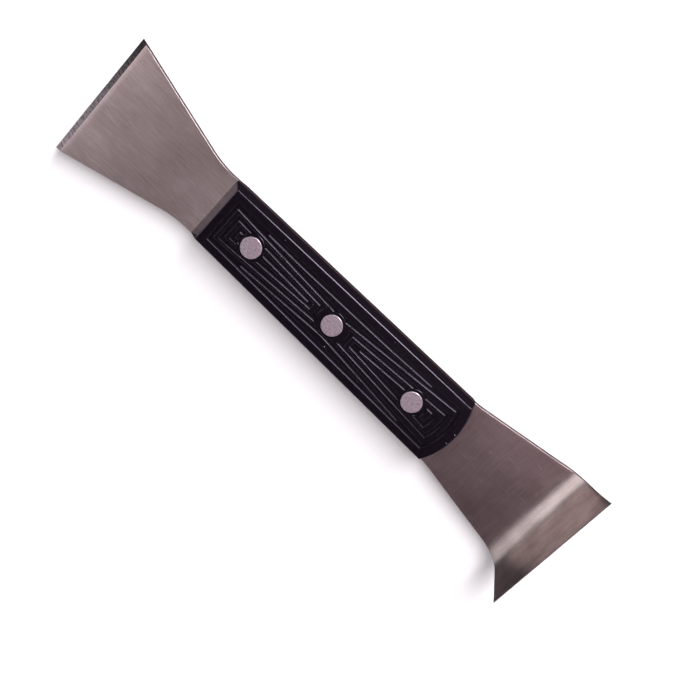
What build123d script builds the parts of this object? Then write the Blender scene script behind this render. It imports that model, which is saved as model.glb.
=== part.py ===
from build123d import *
import math
import os

# Hive tool: one flat steel blade with a flared scraper at one end and a bent-up hook at the
# other, gripped between two moulded plastic scales that are held by three two-piece rivets.
# Millimetres. +X runs towards the hook, +Y across, +Z up out of the front scale. The back
# scale's flat rim lies on Z = 0, and the origin is below the middle of the overall length.
# Each sub-part is drawn with the middle rivet at X = 0 and moved to the frame on export.

# --- driving dimensions -------------------------------------------------------------------
overall_length = 209.4
scraper_reach = 107.2  # middle rivet to the scraper's edge
blade_thickness = 2.0
scale_thickness = 5.0
rivet_spacing = 36.5

# blade
scraper_half_width = 23.7
tang_half_width_scraper_end = 12.0
tang_half_width_hook_end = 13.6
scraper_neck_x = -62.0  # where the scraper's flare would meet the tang, before rounding
scraper_neck_radius = 36.0
hook_neck_x = 54.0
hook_neck_radius = 40.0
hook_flare_slope = 0.1675  # half width gained per millimetre of blade
hook_spread_start = 31.0  # from the hook's neck, where the flare starts to open further
hook_spread = 0.0021
bend_radius = 9.6  # to the middle of the blade's thickness
bend_angle = 75.0
bend_steps = 10
hook_upright = 13.6  # straight length above the bend
upright_steps = 3
bevel_length = 2.5
edge_land = 0.3  # thickness left at a sharpened edge

# scales, at the blade and at the outer face
scale_end_x = -54.8
scale_end_slope = 2.7  # run of the sloped end wall at the scraper end
scale_half_width_scraper_end = 12.1
scale_side_draft = 1.0
arc_centre_x = 28.7  # one centre for every arc at the hook end
scale_arc_radius = 27.3
scale_arc_draft = 0.7
scale_corner_radius = 0.5
face_edge_radius = 0.45

# grip pattern: raised lands in a shallow field
field_depth = 0.8
field_draft = 10.0  # degrees
field_corner_radius = 0.4
field_edge_radius = 0.15
land_edge_radius = 0.18
land_root = 0.2  # how far a land's foot is sunk below the field's floor
field_end_x = -49.2
field_half_width_scraper_end = 8.15
field_half_width_hook_end = 9.62
field_arc_radius = 23.0
boss_radius = 4.8
middle_ring_radius = 6.2
scraper_moat = (4.2, 4.85)  # channel between a rivet and the small block beside it, by radius
hook_moat = (4.3, 5.45)

# rivets
head_radius = 3.72
head_edge_radius = 0.22
stud_head_thickness = 1.5  # stands a little proud of the front scale
socket_head_thickness = 1.2  # sits just below the back scale's rim
counterbore_radius = 4.0
counterbore_depth = 1.3
shank_hole_radius = 2.5
sleeve_radius = 2.4
sleeve_bore_radius = 1.6
sleeve_end_gap = 0.3
sleeve_floor = 1.2  # solid metal left between the socket's head and its bore
stud_clearance = 0.02
stud_shank_length = 7.4

# --- derived ------------------------------------------------------------------------------
blade_bottom = scale_thickness
blade_top = scale_thickness + blade_thickness
blade_mid = (blade_bottom + blade_top) / 2
handle_top = blade_top + scale_thickness
middle_rivet_x = scraper_reach - overall_length / 2
rivet_xs = {"scraper_end": -rivet_spacing, "middle": 0.0, "hook_end": rivet_spacing}

bend_radians = math.radians(bend_angle)
bend_length = bend_radius * bend_radians
hook_reach = (
    bend_radius * math.sin(bend_radians)
    + (hook_upright - bevel_length) * math.cos(bend_radians)
    + blade_thickness / 2 * math.sin(bend_radians)
)
bend_start_x = overall_length - scraper_reach - hook_reach
past_blade = 40.0  # more than the widest half of the blade

base_up = (Align.CENTER, Align.CENTER, Align.MIN)


# --- blade --------------------------------------------------------------------------------
def hook_half_width(along):
    """Half width of the blade at a distance along it, counted from the middle rivet."""
    past_neck = along - hook_neck_x
    spread = max(0.0, past_neck - hook_spread_start)
    return tang_half_width_hook_end + hook_flare_slope * past_neck + hook_spread * spread**2


def flat_blade_face():
    """The flat part's outline, up to where the hook's bend starts."""
    upper = [
        (-scraper_reach, scraper_half_width),
        (scraper_neck_x, tang_half_width_scraper_end),
        (hook_neck_x, tang_half_width_hook_end),
        (bend_start_x, hook_half_width(bend_start_x)),
    ]
    lower = [(x, -y) for x, y in reversed(upper)]
    face = make_face(Polyline(*upper, *lower, close=True))
    for neck_x, radius in ((scraper_neck_x, scraper_neck_radius), (hook_neck_x, hook_neck_radius)):
        necks = [v for v in face.vertices() if abs(v.X - neck_x) < 0.01]
        face = fillet(necks, radius)
    return face


def blade_section(along):
    """Cross-section of the hook at a distance along the blade, square to it."""
    past_bend = along - bend_start_x
    turn = min(past_bend, bend_length) / bend_radius
    upright = max(0.0, past_bend - bend_length)
    x = bend_start_x + bend_radius * math.sin(turn) + upright * math.cos(turn)
    z = blade_mid + bend_radius * (1 - math.cos(turn)) + upright * math.sin(turn)
    forward = (math.cos(turn), 0, math.sin(turn))
    square_to_blade = Plane(origin=(x, 0, z), x_dir=(0, 1, 0), z_dir=forward)
    return square_to_blade * Rectangle(2 * hook_half_width(along), blade_thickness)


def hook():
    bend_end = bend_start_x + bend_length
    bend_stations = [bend_start_x + bend_length * i / bend_steps for i in range(bend_steps + 1)]
    upright_stations = [bend_end + hook_upright * i / upright_steps for i in range(upright_steps + 1)]
    bend = loft([blade_section(s) for s in bend_stations])
    upright = loft([blade_section(s) for s in upright_stations], ruled=True)
    return bend + upright


def wedge_across_blade(*corners):
    """Cutter with this outline in the XZ plane, running across the whole blade."""
    outline = Plane.XZ * make_face(Polyline(*corners, close=True))
    return extrude(outline, past_blade, both=True)


def scraper_bevel():
    """Cutter for the single bevel on the scraper's front face."""
    edge_x = -scraper_reach
    return wedge_across_blade(
        (edge_x - 1, blade_bottom + edge_land),
        (edge_x, blade_bottom + edge_land),
        (edge_x + bevel_length, blade_top),
        (edge_x + bevel_length, blade_top + 1),
        (edge_x - 1, blade_top + 1),
    )


def hook_bevel():
    """Cutter that sharpens the hook from its outer side."""
    along_x, along_z = math.cos(bend_radians), math.sin(bend_radians)
    out_x, out_z = along_z, -along_x
    tip_x = bend_start_x + bend_radius * along_z + hook_upright * along_x
    tip_z = blade_mid + bend_radius * (1 - along_x) + hook_upright * along_z

    def at(out, forward):
        return (tip_x + out * out_x + forward * along_x, tip_z + out * out_z + forward * along_z)

    half = blade_thickness / 2
    return wedge_across_blade(
        at(edge_land - half, 0),
        at(half, -bevel_length),
        at(half + 1, -bevel_length),
        at(half + 1, 1),
        at(edge_land - half, 1),
    )


def blade():
    flat = extrude(Pos(0, 0, blade_bottom) * flat_blade_face(), blade_thickness)
    body = flat + hook() - scraper_bevel() - hook_bevel()
    for x in rivet_xs.values():
        body -= Pos(x, 0, blade_mid) * Cylinder(shank_hole_radius, 2 * blade_thickness)
    return body


# --- grip pattern -------------------------------------------------------------------------
def square_nest(end_x, end_half, near_x, near_half):
    """Trapezium with a square end, narrowing from the scraper end towards the middle rivet."""
    upper = [(end_x, end_half), (near_x, near_half)]
    lower = [(x, -y) for x, y in reversed(upper)]
    return make_face(Polyline(*upper, *lower, close=True))


def arched_nest(radius, corner_half, near_x, near_half):
    """Trapezium with an arched hook end, narrowing towards a square end at near_x."""
    corner_x = arc_centre_x + math.sqrt(radius**2 - corner_half**2)
    sides = Polyline(
        (corner_x, corner_half), (near_x, near_half), (near_x, -near_half), (corner_x, -corner_half)
    )
    crown = (arc_centre_x + radius, 0)
    arch = ThreePointArc((corner_x, -corner_half), crown, (corner_x, corner_half))
    return make_face(sides + arch)


def moat(rivet_x, side, radii, half_height):
    """Part of a ring round a rivet, on one side of it."""
    ring = Pos(rivet_x, 0) * (Circle(radii[1]) - Circle(radii[0]))
    window = Pos(rivet_x + side * radii[1], 0) * Rectangle(2 * radii[1], 2 * half_height)
    return ring & window


def sliver():
    """Long land between the outer channel and the bow-tie, widest at the middle rivet."""
    inner = [(-35, 6.95), (-20, 6.17), (0, 5.12), (20, 6.75), (37.5, 8.15)]
    outer = [(37.5, 8.6), (20, 7.85), (0, 7.5), (-20, 7.2), (-35, 7.4)]
    return make_face(Polyline(*inner, *outer, close=True))


def bow_tie():
    """The widest land: two framed wings that meet in a ring round the middle rivet."""
    wings = square_nest(-47.9, 6.38, 0, 3.8) + arched_nest(21.9, 8.1, 0, 3.7)
    ring = Circle(middle_ring_radius)
    scraper_window = square_nest(-46.5, 5.28, -4.0, 3.1) - ring
    hook_window = arched_nest(20.15, 5.86, 4.0, 2.95) - ring
    return wings + Circle(boss_radius) - scraper_window - hook_window


def scraper_nest():
    """Frame, small block and long tongue inside the bow-tie's scraper-end wing."""
    rivet_x = rivet_xs["scraper_end"]
    frame = square_nest(-45.2, 3.82, -7.3, 2.12) - square_nest(-43.75, 2.72, -9.1, 1.15)
    block = square_nest(-42.5, 1.35, -36.0, 1.0)
    tongue = square_nest(-37.0, 0.8, -11.0, 0.25)
    boss = Pos(rivet_x, 0) * Circle(boss_radius)
    return frame + block + tongue + boss - moat(rivet_x, -1, scraper_moat, 1.9)


def hook_nest():
    """Frame, small block and long tongue inside the bow-tie's hook-end wing."""
    rivet_x = rivet_xs["hook_end"]
    frame = arched_nest(19.2, 4.66, 7.5, 2.14) - arched_nest(16.95, 3.52, 9.1, 1.15)
    block_and_tongue = arched_nest(15.4, 2.05, 12.5, 0.25)
    boss = Pos(rivet_x, 0) * Circle(boss_radius)
    return frame + block_and_tongue + boss - moat(rivet_x, 1, hook_moat, 2.8)


def grip_lands():
    """Every raised land of the grip pattern, as a flat face."""
    lands = [sliver(), mirror(sliver(), about=Plane.XZ), bow_tie()]
    for nest in (scraper_nest(), hook_nest()):
        lands += nest.faces()
    return lands


def raised_land(face):
    """A land with drafted walls and a softened top edge, its top level with the scale's face."""
    block = extrude(face, -(field_depth + land_root), taper=-field_draft)
    top = block.faces().sort_by(Axis.Z)[-1]
    return fillet(top.edges(), land_edge_radius)


# --- scales -------------------------------------------------------------------------------
def scale_blank():
    """Drafted block of one scale, from Z = 0 at the blade up to its outer face."""
    at_blade = arched_nest(
        scale_arc_radius, tang_half_width_hook_end, scale_end_x, scale_half_width_scraper_end
    )
    at_face = arched_nest(
        scale_arc_radius - scale_arc_draft,
        tang_half_width_hook_end - scale_side_draft,
        scale_end_x + scale_end_slope,
        scale_half_width_scraper_end - scale_side_draft,
    )
    block = loft([at_blade, Pos(0, 0, scale_thickness) * at_face], ruled=True)
    corners = [e for e in block.edges() if e.bounding_box().size.Z > scale_thickness / 2]
    block = fillet(corners, scale_corner_radius)
    outer_face = block.faces().sort_by(Axis.Z)[-1]
    return fillet(outer_face.outer_wire().edges(), face_edge_radius)


def sink_field(block):
    """Sinks the shallow field into the scale's face and softens the rim's inner edge."""
    outline = arched_nest(
        field_arc_radius, field_half_width_hook_end, field_end_x, field_half_width_scraper_end
    )
    outline = fillet(outline.vertices(), field_corner_radius)
    block -= extrude(Pos(0, 0, scale_thickness) * outline, -field_depth, taper=field_draft)
    face = block.faces().filter_by(lambda f: len(f.inner_wires()) == 1)[0]
    return fillet(face.inner_wires()[0].edges(), field_edge_radius)


def scale_on_blade():
    """One scale, from Z = 0 at the blade up to its outer face."""
    block = sink_field(scale_blank())
    for land in grip_lands():
        block += raised_land(Pos(0, 0, scale_thickness) * land)
    for x in rivet_xs.values():
        block -= Pos(x, 0, 0) * Cylinder(shank_hole_radius, scale_thickness, align=base_up)
        ledge = scale_thickness - counterbore_depth
        block -= Pos(x, 0, ledge) * Cylinder(counterbore_radius, scale_thickness, align=base_up)
    return block


# --- rivets -------------------------------------------------------------------------------
def rivet_head(thickness):
    """Flat round head on Z = 0, its outer edge softened, standing towards +Z."""
    head = Cylinder(head_radius, thickness, align=base_up)
    rim = head.edges().sort_by(Axis.Z)[-1]
    return fillet(rim, head_edge_radius)


def rivet_stud():
    """Front half: a head and a solid shank, its head resting on the front scale's ledge."""
    ledge = handle_top - counterbore_depth
    shank = Cylinder(sleeve_bore_radius - stud_clearance, stud_shank_length, align=base_up)
    return Pos(0, 0, ledge) * rivet_head(stud_head_thickness) + Pos(0, 0, ledge - stud_shank_length) * shank


def rivet_socket():
    """Back half: a head and a sleeve that the stud's shank is pressed into."""
    ledge = counterbore_depth
    sleeve_top = handle_top - counterbore_depth - sleeve_end_gap
    head = Pos(0, 0, ledge) * Rot(180, 0, 0) * rivet_head(socket_head_thickness)
    sleeve = Pos(0, 0, ledge) * Cylinder(sleeve_radius, sleeve_top - ledge, align=base_up)
    bore_bottom = ledge + sleeve_floor
    bore = Pos(0, 0, bore_bottom) * Cylinder(sleeve_bore_radius, handle_top, align=base_up)
    return head + sleeve - bore


# --- export -------------------------------------------------------------------------------
scale = scale_on_blade()
parts = {
    "blade": blade(),
    "front_scale": Pos(0, 0, blade_top) * scale,
    "back_scale": Pos(0, 0, blade_bottom) * Rot(180, 0, 0) * scale,
}
for place, x in rivet_xs.items():
    parts[f"rivet_stud_{place}"] = Pos(x, 0, 0) * rivet_stud()
    parts[f"rivet_socket_{place}"] = Pos(x, 0, 0) * rivet_socket()

os.makedirs("parts", exist_ok=True)
for name, shape in parts.items():
    export_step(Pos(middle_rivet_x, 0, 0) * shape, f"parts/{name}.step")
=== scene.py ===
import bmesh
import bpy
import math
from mathutils import Matrix, Vector, noise


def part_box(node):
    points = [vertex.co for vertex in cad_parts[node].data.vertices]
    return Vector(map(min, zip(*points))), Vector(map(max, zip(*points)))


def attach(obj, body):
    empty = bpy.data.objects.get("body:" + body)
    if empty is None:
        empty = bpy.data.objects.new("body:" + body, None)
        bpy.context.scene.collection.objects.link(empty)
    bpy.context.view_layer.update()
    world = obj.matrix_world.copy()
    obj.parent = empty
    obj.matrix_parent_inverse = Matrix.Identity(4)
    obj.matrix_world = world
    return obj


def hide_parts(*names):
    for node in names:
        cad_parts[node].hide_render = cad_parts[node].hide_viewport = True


# A hive tool lying on its back scale: a steel blade with a wide scraper at one end and a
# bent-up hook at the other, held between two black plastic scales by three steel rivets.
# Metres. +X runs towards the hook, +Y across, +Z up out of the front scale.

MM = 0.001

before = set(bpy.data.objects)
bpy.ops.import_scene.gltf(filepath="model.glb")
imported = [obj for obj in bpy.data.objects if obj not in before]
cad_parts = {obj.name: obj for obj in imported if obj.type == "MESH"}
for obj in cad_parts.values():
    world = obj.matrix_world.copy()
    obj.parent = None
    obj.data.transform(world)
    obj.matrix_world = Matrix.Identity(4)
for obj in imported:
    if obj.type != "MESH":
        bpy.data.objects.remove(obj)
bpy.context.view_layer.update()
scene = bpy.context.scene

# --- sizes, from the frame where it holds them ------------------------------------------------
handle_low, handle_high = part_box("back_scale")
blade_low, blade_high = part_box("blade")
blade_bottom = handle_high.z
blade_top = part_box("front_scale")[0].z
blade_thickness = blade_top - blade_bottom
blade_middle = (blade_bottom + blade_top) / 2
rivet_ends = ("scraper_end", "middle", "hook_end")
rivet_xs = [sum(corner.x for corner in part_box("rivet_stud_" + end)) / 2 for end in rivet_ends]
middle_rivet_x = rivet_xs[1]

# the blade's outline, as if the hook were flat: slopes are half width gained per metre, and the
# hook's spread is half width gained per square metre of the length past where it starts
scraper_edge_x = blade_low.x
scraper_half_width = 23.7 * MM
scraper_neck_x = middle_rivet_x - 62 * MM
scraper_neck_reach = 4.8 * MM
tang_half_width = 12 * MM
tang_slope = 0.0138
scraper_slope = (scraper_half_width - tang_half_width) / (scraper_neck_x - scraper_edge_x)
hook_neck_x = middle_rivet_x + 54 * MM
hook_neck_reach = 3.1 * MM
hook_slope = 0.1675 - tang_slope
hook_spread_x = hook_neck_x + 31 * MM
hook_spread = 2.1

# the bend, the hook's upright and the two sharpened edges
bend_radius = 9.6 * MM
bend_angle = math.radians(75)
bend_length = bend_radius * bend_angle
hook_upright = 13.6 * MM
bevel_length = 2.5 * MM
edge_land = 0.3 * MM
bend_start_x = (
    blade_high.x
    - (bend_radius + blade_thickness / 2) * math.sin(bend_angle)
    - (hook_upright - bevel_length) * math.cos(bend_angle)
)
hook_end = bend_start_x + bend_length + hook_upright
shank_hole_radius = 2.5 * MM

# how finely the blade is drawn: an arris takes no more than its share of the thickness there
crease_reach = 0.12 * MM
arris_radius = 0.11 * MM
arris_share = 0.3
arris_steps = 3
face_columns = 26
flat_spacing = 1.5 * MM
bend_spacing = 0.45 * MM
upright_spacing = 0.9 * MM
hole_segments = 64
sharp_angle = math.radians(35)

# how uneven the blade is: depth, length and width of one wave, and a seed that sets it apart from
# the others
plate_ripple = 0.05 * MM
plate_wave = (24 * MM, 17 * MM)
plate_seed = 3.1
bend_dent = 0.08 * MM
dent_wave = (6.5 * MM, 7 * MM)
dent_seed = 5.3
side_ripple = 0.03 * MM
side_wave = (6 * MM, 1)
side_seed = 1.3
edge_wear_depth = 0.05 * MM
edge_wear_wave = (1.7 * MM, 1)
edge_wear_line = 0.4
edge_wear_seed = 7.7

# how far from the handle, the bend's start and the hook's bevel the waviness is full
handle_fade = 12 * MM
bend_fade = 4 * MM


# --- camera, floor and lights -----------------------------------------------------------------
def aimed(place, target, up):
    """Rotation that looks from place to target, with up towards the top of the frame."""
    back = (place - target).normalized()
    right = up.cross(back).normalized()
    return Matrix((right, back.cross(right), back)).transposed().to_4x4()


def add_camera():
    """Camera high above the front scale, with the tool slanting down to the right."""
    place = Vector((-0.0100, 0.0954, 0.3332))
    target = Vector((0.0128, -0.0035, 0.0060))
    up = Vector((-0.6911, 0.6771, -0.2528))
    data = bpy.data.cameras.new("camera")
    data.lens = 52.61
    data.sensor_width = 36.0
    data.dof.use_dof = False
    camera = bpy.data.objects.new("camera", data)
    camera.matrix_world = Matrix.Translation(place) @ aimed(place, target, up)
    scene.collection.objects.link(camera)
    scene.camera = camera


def add_softbox(name, azimuth, elevation, size, brightness, colour):
    """Rectangular studio light, one metre from the middle of the scene and aimed at it. Azimuth 0 is
    +X and 90 is +Y, in degrees. Size is its length in the plane of X and Z and then its width, in
    metres, and brightness is that of its face."""
    turn = math.radians(azimuth)
    rise = math.radians(elevation)
    place = Vector((math.cos(turn) * math.cos(rise), math.sin(turn) * math.cos(rise), math.sin(rise)))
    data = bpy.data.lights.new(name, "AREA")
    data.shape = "RECTANGLE"
    data.size, data.size_y = size
    data.energy = brightness * math.pi * size[0] * size[1]
    data.color = colour
    light = bpy.data.objects.new(name, data)
    light.matrix_world = Matrix.Translation(place) @ aimed(place, Vector(), Vector((0, 1, 0)))
    light.visible_camera = False
    scene.collection.objects.link(light)


def add_lights():
    """A strong key light at +Y, softer ones beyond both ends and overhead, and a fill at -Y."""
    add_softbox("key_softbox", 87, 42, (0.34, 1.25), 15.5, (1.0, 0.98, 1.0))
    add_softbox("end_softbox", 194, 40.5, (1.05, 0.26), 2.1, (1.0, 0.97, 0.985))
    add_softbox("ceiling_softbox", 8, 75.5, (0.62, 0.40), 0.92, (1.0, 0.81, 0.88))
    add_softbox("side_card", 206, 3, (0.14, 0.12), 1.6, (1.0, 0.95, 0.99))
    add_softbox("hook_end_softbox", -8, 20, (0.34, 0.5), 3.2, (1.0, 0.96, 0.98))
    add_softbox("fill_softbox", -90, 24, (0.7, 0.45), 2.0, (1.0, 0.96, 1.0))


def add_floor():
    """Wide pale floor, which doesn't show in glossy reflections."""
    half_side = 10.0
    bm = bmesh.new()
    bmesh.ops.create_grid(bm, x_segments=1, y_segments=1, size=half_side)
    mesh = bpy.data.meshes.new("floor")
    bm.to_mesh(mesh)
    bm.free()
    floor = bpy.data.objects.new("floor", mesh)
    scene.collection.objects.link(floor)
    floor.data.materials.append(floor_paint())
    floor.visible_glossy = False


def add_surroundings():
    """A studio with pale walls: dark below the floor, brightest just above it and dim overhead.
    Heights are the upward part of a direction one long."""
    horizon_height = 0.02
    ceiling_height = 0.58
    world = bpy.data.worlds.new("studio")
    world.use_nodes = True
    tree = world.node_tree
    direction = tree.nodes.new("ShaderNodeTexCoord").outputs["Generated"]
    parts = tree.nodes.new("ShaderNodeSeparateXYZ")
    ramp = tree.nodes.new("ShaderNodeValToRGB")
    below, overhead = ramp.color_ramp.elements
    below.color = (0.09, 0.068, 0.078, 1)
    overhead.position = ceiling_height
    overhead.color = (0.07, 0.05, 0.06, 1)
    ramp.color_ramp.elements.new(horizon_height).color = (0.74, 0.70, 0.72, 1)
    tree.links.new(direction, parts.inputs["Vector"])
    tree.links.new(parts.outputs["Z"], ramp.inputs["Fac"])
    tree.links.new(ramp.outputs["Color"], tree.nodes["Background"].inputs["Color"])
    scene.world = world
    scene.view_settings.view_transform = "Standard"


# --- materials --------------------------------------------------------------------------------
# A Mix node has one set of sockets for numbers and another for colours.
MIX_SHARE = 0
MIX_NUMBERS = (2, 3)
MIXED_NUMBER = 0
MIX_COLOURS = (6, 7)
MIXED_COLOUR = 2

# Nearly all of a noise pattern's values lie in this span.
NOISE_SPAN = (0.3, 0.7)


class Paint:
    """A material under construction: a Principled shader and the nodes that feed it. Its plain colour
    and roughness hold where no pattern is fed."""

    def __init__(self, name, colour, metallic, roughness, specular=0.5):
        self.material = bpy.data.materials.new(name)
        self.material.use_nodes = True
        self.tree = self.material.node_tree
        self.shader = self.tree.nodes["Principled BSDF"]
        self.shader.inputs["Base Color"].default_value = (*colour, 1)
        self.shader.inputs["Metallic"].default_value = metallic
        self.shader.inputs["Roughness"].default_value = roughness
        self.shader.inputs["Specular IOR Level"].default_value = specular
        self.place = self.tree.nodes.new("ShaderNodeTexCoord").outputs["Object"]

    def put(self, socket, value):
        """Link or set a socket, whichever the value is for."""
        if isinstance(value, bpy.types.NodeSocket):
            self.tree.links.new(value, socket)
        else:
            socket.default_value = value

    def node(self, kind, settings=None, **inputs):
        """New node of a kind, with its settings and inputs. In an input's name, _ stands for a space."""
        made = self.tree.nodes.new("ShaderNode" + kind)
        for name, value in (settings or {}).items():
            setattr(made, name, value)
        for name, value in inputs.items():
            self.put(made.inputs[name.replace("_", " ")], value)
        return made

    def feed(self, **inputs):
        """Link or set the shader's inputs, named as in node."""
        for name, value in inputs.items():
            self.put(self.shader.inputs[name.replace("_", " ")], value)

    def stretched(self, cycles, turn=0.0):
        """Object coordinates in pattern cycles per metre along X, Y and Z, turned in plan first."""
        turned = self.node("VectorRotate", {"rotation_type": "Z_AXIS"}, Vector=self.place)
        turned.inputs["Angle"].default_value = turn
        return self.node("Mapping", Vector=turned.outputs["Vector"], Scale=cycles).outputs["Vector"]

    def noise(self, cycles, detail=2.0, roughness=0.5, turn=0.0):
        """Noise from 0 to 1, its cycles and turn as in stretched."""
        vector = self.stretched(cycles, turn)
        made = self.node("TexNoise", Vector=vector, Scale=1.0, Detail=detail, Roughness=roughness)
        return made.outputs["Fac"]

    def spread(self, value, low, high, to_low=0.0, to_high=1.0):
        """Value moved from the span low..high to the span to_low..to_high, and kept inside it."""
        made = self.node("MapRange")
        ends = {"From Min": low, "From Max": high, "To Min": to_low, "To Max": to_high}
        for name, number in ends.items():
            made.inputs[name].default_value = number
        self.put(made.inputs["Value"], value)
        return made.outputs["Result"]

    def math(self, operation, first, second):
        made = self.node("Math", {"operation": operation})
        self.put(made.inputs[0], first)
        self.put(made.inputs[1], second)
        return made.outputs["Value"]

    def mix(self, share, first, second, blend="MIX"):
        """Colour first where share is 0, and second where it is 1."""
        made = self.node("Mix", {"data_type": "RGBA", "blend_type": blend})
        for index, value in zip((MIX_SHARE, *MIX_COLOURS), (share, first, second)):
            self.put(made.inputs[index], value)
        return made.outputs[MIXED_COLOUR]

    def choose(self, share, first, second):
        """Number first where share is 0, and second where it is 1."""
        made = self.node("Mix", {"data_type": "FLOAT"})
        for index, value in zip((MIX_SHARE, *MIX_NUMBERS), (share, first, second)):
            self.put(made.inputs[index], value)
        return made.outputs[MIXED_NUMBER]

    def bump(self, height, depth):
        return self.node("Bump", Height=height, Distance=depth).outputs["Normal"]


def grey(level, tint=(1.0, 1.0, 1.0)):
    """A grey of this level, with its red, green and blue multiplied by the tint."""
    return (*[level * part for part in tint], 1)


def floor_paint():
    """Matt pale grey, very slightly mottled."""
    paint = Paint("floor_paint", (0.86, 0.86, 0.86), 0.0, 0.7, 0.2)
    mottle = paint.noise((6, 6, 6), detail=3)
    paint.feed(Base_Color=paint.mix(mottle, grey(0.86), grey(0.88)))
    return paint.material


def scratches(paint, cycles, turn, rarity):
    """Mask of sparse fine lines: cycles along and across them, turned in plan. Where rarity is higher,
    fewer lines are left."""
    softness = 0.05
    along, across = cycles
    lines = paint.noise((along, across, across), detail=1, roughness=0.4, turn=turn)
    return paint.spread(lines, rarity, rarity + softness)


def blade_steel():
    """Brushed along the blade on the scraper's side, and across it on the hook's side. A painted
    greenish reflection tints it from the bend on, and the hook's upright is darkened in random smears
    towards its top."""
    paint = Paint("brushed_blade_steel", (0.55, 0.44, 0.43), 1.0, 0.3)
    place_parts = paint.node("SeparateXYZ", Vector=paint.place).outputs
    hook_side = paint.math("GREATER_THAN", place_parts["X"], middle_rivet_x)

    hairline = 4200  # cycles per metre across the grain
    along = paint.noise((150, hairline, hairline), detail=3, roughness=0.7)
    across = paint.noise((hairline, 140, hairline), detail=3, roughness=0.7)
    grain = paint.choose(hook_side, along, across)
    grain_span = (0.25, 0.75)
    cloud = paint.spread(paint.noise((45, 75, 45), detail=5, roughness=0.65), 0.32, 0.68)

    dark_steel = grey(0.43, (1, 0.8, 0.79))
    pale_steel = grey(0.58, (1, 0.825, 0.82))
    clouded = paint.mix(cloud, dark_steel, pale_steel)
    streaks = paint.mix(paint.spread(grain, *grain_span), grey(0.78), grey(1.2))
    grained = paint.mix(1.0, clouded, streaks, "MULTIPLY")

    bright_scratch = grey(0.76, (1, 0.88, 0.88))
    marks = scratches(paint, (150, 3400), 0.10, 0.735)
    stray = scratches(paint, (190, 2700), 0.85, 0.77)
    marked = paint.mix(paint.math("MAXIMUM", marks, stray), grained, bright_scratch)

    # Painted reflection: a greenish tint multiplied onto the blade from the bend onwards.
    painted_green_reflection = grey(0.97, (1, 1.07, 1.04))
    painted_reflection_share = paint.spread(place_parts["X"], bend_start_x + 1.4 * MM, bend_start_x + 6.4 * MM)
    reflection_tinted = paint.mix(painted_reflection_share, marked, painted_green_reflection, "MULTIPLY")
    # The hook's upright is darkened in random smears, more towards its top.
    smears = paint.spread(paint.noise((260, 90, 260), detail=4), 0.36, 0.62, 0.2, 1.0)
    up_hook = paint.spread(place_parts["Z"], blade_middle + 3 * MM, blade_middle + 16 * MM)
    smeared_upright = paint.math("MULTIPLY", smears, up_hook)
    paint.feed(Base_Color=paint.mix(smeared_upright, reflection_tinted, grey(0.62), "MULTIPLY"))

    paint.feed(Roughness=paint.spread(grain, *grain_span, 0.29, 0.33))
    paint.feed(Anisotropic=0.55)
    square_to_grain = paint.node("CombineXYZ", X=hook_side, Y=paint.math("SUBTRACT", 1.0, hook_side))
    paint.feed(Tangent=square_to_grain.outputs["Vector"])
    paint.feed(Normal=paint.bump(grain, 0.006 * MM))
    return paint.material


def ground_steel():
    """Freshly ground edge: short grinding marks square to it, with painted shade darkening it towards
    +Y.
    """
    painted_shade_reach = 21 * MM
    paint = Paint("ground_edge_steel", (0.42, 0.38, 0.4), 1.0, 0.4)
    marks = paint.noise((420, 3300, 420), detail=3, roughness=0.7)
    dark_mark = grey(0.13, (1, 0.86, 0.93))
    pale_mark = grey(0.58, (1, 0.9, 0.96))
    tone = paint.mix(paint.spread(marks, *NOISE_SPAN), dark_mark, pale_mark)
    # Painted shade: the edge's colour is darkened towards +Y.
    y_place = paint.node("SeparateXYZ", Vector=paint.place).outputs["Y"]
    painted_shade = paint.spread(y_place, -painted_shade_reach, painted_shade_reach)
    paint.feed(Base_Color=paint.mix(painted_shade, tone, grey(0.12), "MULTIPLY"))
    paint.feed(Roughness=paint.spread(marks, *NOISE_SPAN, 0.24, 0.36))
    paint.feed(Normal=paint.bump(marks, 0.02 * MM))
    return paint.material


def rivet_steel():
    """Mottled bare steel: its pale patches are smoother than its dark ones."""
    paint = Paint("tumbled_rivet_steel", (0.5, 0.45, 0.47), 1.0, 0.45)
    mottle = paint.noise((1300, 1300, 1300), detail=4, roughness=0.75)
    dark_patch = grey(0.24, (1, 0.82, 0.96))
    pale_patch = grey(0.74, (1, 0.85, 0.96))
    paint.feed(Base_Color=paint.mix(paint.spread(mottle, *NOISE_SPAN), dark_patch, pale_patch))
    paint.feed(Roughness=paint.spread(mottle, *NOISE_SPAN, 0.52, 0.36))
    paint.feed(Normal=paint.bump(mottle, 0.03 * MM))
    return paint.material


def dust_specks(paint):
    """Mask of small round specks: one in each cell whose random colour is red enough. The speck's
    radii, where it starts to fade and where it ends, are shares of a cell."""
    speck_radii = (0.045, 0.075)
    empty_share = 0.72
    cells = paint.node("TexVoronoi", Vector=paint.place, Scale=330.0).outputs
    near = paint.spread(cells["Distance"], *speck_radii, 1.0, 0.0)
    random_red = paint.node("SeparateColor", Color=cells["Color"]).outputs["Red"]
    return paint.math("MULTIPLY", near, paint.math("GREATER_THAN", random_red, empty_share))


def grip_plastic():
    """Satin moulded black with a little dust."""
    paint = Paint("moulded_black_plastic", (0.005, 0.002, 0.006), 0.0, 0.24)
    paint.feed(Specular_Tint=(0.88, 0.78, 1.0, 1.0))
    mottle = paint.noise((900, 900, 900), detail=3, roughness=0.6)
    dust = dust_specks(paint)
    black = paint.mix(mottle, grey(0.0015, (1, 0.5, 1.3)), grey(0.003, (1, 0.5, 1.4)))
    paint.feed(Base_Color=paint.mix(dust, black, grey(0.22, (1, 0.95, 1))))
    satin = paint.spread(mottle, *NOISE_SPAN, 0.17, 0.25)
    dust_roughness = paint.math("MULTIPLY", dust, 0.4)
    paint.feed(Roughness=paint.math("ADD", satin, dust_roughness))
    paint.feed(Normal=paint.bump(mottle, 0.004 * MM))
    return paint.material


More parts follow.
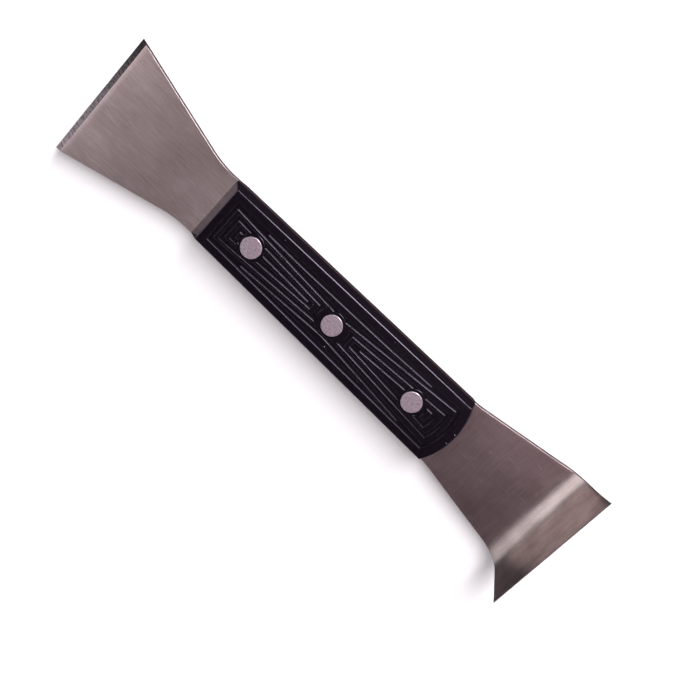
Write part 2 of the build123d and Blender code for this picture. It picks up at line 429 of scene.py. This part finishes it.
# --- blade ------------------------------------------------------------------------------------
def flare(past_neck, slope, reach):
    """Half width added past a neck: none before it, a steady slope after it, and a curve between."""
    if past_neck <= -reach:
        return 0.0
    if past_neck >= reach:
        return slope * past_neck
    return slope * (past_neck + reach) ** 2 / (4 * reach)


def half_width(along):
    """Half width of the blade at a distance along it, measured as if the hook were flat."""
    scraper = flare(scraper_neck_x - along, scraper_slope + tang_slope, scraper_neck_reach)
    hook = flare(along - hook_neck_x, hook_slope, hook_neck_reach)
    spread = hook_spread * max(0.0, along - hook_spread_x) ** 2
    return tang_half_width + tang_slope * (along - scraper_neck_x) + scraper + hook + spread


def ripple(along, across, wave, seed):
    """Smooth random swing from about -1 to 1, with waves of this length and width."""
    return noise.noise(Vector((along / wave[0], across / wave[1], seed)))


def blade_levels(along):
    """Lower and upper face above the blade's middle, thinned at both sharpened ends."""
    lower, upper = -blade_thickness / 2, blade_thickness / 2
    slope = (blade_thickness - edge_land) / bevel_length
    upper -= flare(scraper_edge_x + bevel_length - along, slope, crease_reach)
    lower += flare(along - hook_end + bevel_length, slope, crease_reach)
    return lower, upper


def steps_between(start, end, spacing):
    """Even steps of about this spacing from start, without the end."""
    count = max(1, round((end - start) / spacing))
    return [start + (end - start) * i / count for i in range(count)]


def blade_stations():
    """Distances along the blade where its cross-section is drawn."""
    bend_end = bend_start_x + bend_length
    inner = scraper_edge_x + bevel_length
    outer = hook_end - bevel_length
    stations = [scraper_edge_x, inner - crease_reach]
    stations += steps_between(inner + crease_reach, bend_start_x, flat_spacing)
    stations += steps_between(bend_start_x, bend_end, bend_spacing)
    stations += steps_between(bend_end, outer - crease_reach, upright_spacing)
    return stations + [outer - crease_reach, outer + crease_reach, hook_end]


def section_points():
    """The cross-section, once round, as (face, share, corner). Face is 1 for the upper face and -1 for
    the lower; share is across, from -1 to 1; corner is how far round the arris, from 0 to 1."""
    points = []
    for face in (1, -1):
        for column in range(face_columns + 1):
            points.append((face, face * (1 - 2 * column / face_columns), 0.0))
        for step in range(1, arris_steps + 1):
            points.append((face, -face, step / arris_steps))
        for step in range(arris_steps, 0, -1):
            points.append((-face, -face, step / arris_steps))
    return points


def unevenness(along, y):
    """Slight waviness of the plate, none between the scales or on the hook's bevel, and shallow dents
    past the bend."""
    outside = max(0.0, handle_low.x - along, along - handle_high.x)
    below_bevel = max(0.0, hook_end - bevel_length - along)
    past_bend = max(0.0, along - bend_start_x)
    rolled = plate_ripple * ripple(along, y, plate_wave, plate_seed)
    dented = bend_dent * ripple(along, y, dent_wave, dent_seed)
    rolled_share = min(1.0, outside / handle_fade, below_bevel / bend_fade)
    dented_share = min(1.0, past_bend / bend_fade, below_bevel / bend_fade)
    return rolled_share * rolled + dented_share * dented


def edge_wear(y):
    """How far a point of a sharpened edge is worn back."""
    return edge_wear_depth * (1 + ripple(y, edge_wear_line, edge_wear_wave, edge_wear_seed))


def bent(along, y, height):
    """Place of a point of the flat blade after the hook has been bent up."""
    past = max(0.0, along - bend_start_x)
    turn = min(past / bend_radius, bend_angle)
    upright = max(0.0, past - bend_length)
    x = min(along, bend_start_x) + (bend_radius - height) * math.sin(turn) + upright * math.cos(turn)
    z = bend_radius - (bend_radius - height) * math.cos(turn) + upright * math.sin(turn)
    return Vector((x, y, blade_middle + z))


def section_place(along, point):
    """Place of one point of the cross-section at a distance along the blade."""
    face, share, corner = point
    lower, upper = blade_levels(along)
    radius = min(arris_radius, arris_share * (upper - lower))
    turn = corner * math.pi / 2
    half = half_width(along) + side_ripple * ripple(along, share, side_wave, side_seed)
    y = share * (half - radius) + share * radius * math.sin(turn)
    height = (upper if face > 0 else lower) - face * radius * (1 - math.cos(turn))
    height += unevenness(along, y)
    if along == scraper_edge_x:
        along += edge_wear(y)
    if along == hook_end:
        along -= edge_wear(y)
    return bent(along, y, height)


def blade_shell():
    """The blade's skin: one closed cross-section extruded from station to station, then capped. The
    end faces and the two bevels take the second material."""
    bm = bmesh.new()
    order = bm.verts.layers.int.new("order")
    points = section_points()
    stations = blade_stations()
    loop = [bm.verts.new(section_place(stations[0], point)) for point in points]
    for index, vert in enumerate(loop):
        vert[order] = index
    start = bm.faces.new(loop)
    start.material_index = 1
    rim = list(start.edges)
    for station in stations[1:]:
        grown = bmesh.ops.extrude_edge_only(bm, edges=rim)["geom"]
        fresh = {item for item in grown if isinstance(item, bmesh.types.BMVert)}
        for vert in fresh:
            vert.co = section_place(station, points[vert[order]])
        rim = [e for e in grown if isinstance(e, bmesh.types.BMEdge) and fresh.issuperset(e.verts)]
        ground_face = {stations[1]: 1, stations[-1]: -1}.get(station, 0)
        for face in (item for item in grown if isinstance(item, bmesh.types.BMFace)):
            sides = [points[vert[order]][0] for vert in face.verts]
            face.material_index = int(all(side == ground_face for side in sides))
    end = bmesh.ops.contextual_create(bm, geom=rim)["faces"]
    for face in end:
        face.material_index = 1
    bmesh.ops.triangulate(bm, faces=[start, *end], ngon_method="BEAUTY")
    bmesh.ops.recalc_face_normals(bm, faces=bm.faces)
    return bm


def mesh_object(name, bm, *materials):
    """New object in the scene from a bmesh, which is freed."""
    mesh = bpy.data.meshes.new(name)
    bm.to_mesh(mesh)
    bm.free()
    for material in materials:
        mesh.materials.append(material)
    made = bpy.data.objects.new(name, mesh)
    scene.collection.objects.link(made)
    return made


def shank_hole_cutter():
    """Three upright rods where the rivets go through the blade."""
    bm = bmesh.new()
    for x in rivet_xs:
        place = Matrix.Translation((x, 0, blade_middle))
        bmesh.ops.create_cone(
            bm,
            cap_ends=True,
            segments=hole_segments,
            radius1=shank_hole_radius,
            radius2=shank_hole_radius,
            depth=2 * blade_thickness,
            matrix=place,
        )
    return mesh_object("shank_hole_cutter", bm)


def apply_modifiers(piece):
    """Replace a piece's mesh by what its modifiers make of it."""
    bpy.context.view_layer.update()
    state = bpy.context.evaluated_depsgraph_get()
    finished = piece.evaluated_get(state)
    shaped = bpy.data.meshes.new_from_object(finished, preserve_all_data_layers=True, depsgraph=state)
    piece.modifiers.clear()
    piece.data = shaped


def add_blade(steel, ground):
    """The blade with its rivet holes, creased where it is sharp and smooth elsewhere."""
    blade = mesh_object("bent_blade_plate", blade_shell(), steel, ground)
    cutter = shank_hole_cutter()
    holes = blade.modifiers.new("shank_holes", "BOOLEAN")
    holes.object = cutter
    holes.solver = "EXACT"
    apply_modifiers(blade)
    bpy.data.objects.remove(cutter)
    blade.data.shade_smooth()
    blade.data.set_sharp_from_angle(angle=sharp_angle)
    even = blade.modifiers.new("even_shading", "WEIGHTED_NORMAL")
    even.keep_sharp = True
    apply_modifiers(blade)
    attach(blade, "root")
    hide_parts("blade")


def paint_nodes(rivets, plastic):
    """Materials of the pieces that are shown as they come in the frame."""
    for name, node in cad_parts.items():
        if name.startswith("rivet"):
            node.material_slots[0].material = rivets
        elif name.endswith("scale"):
            node.material_slots[0].material = plastic


add_camera()
add_surroundings()
add_floor()
add_lights()
add_blade(blade_steel(), ground_steel())
paint_nodes(rivet_steel(), grip_plastic())
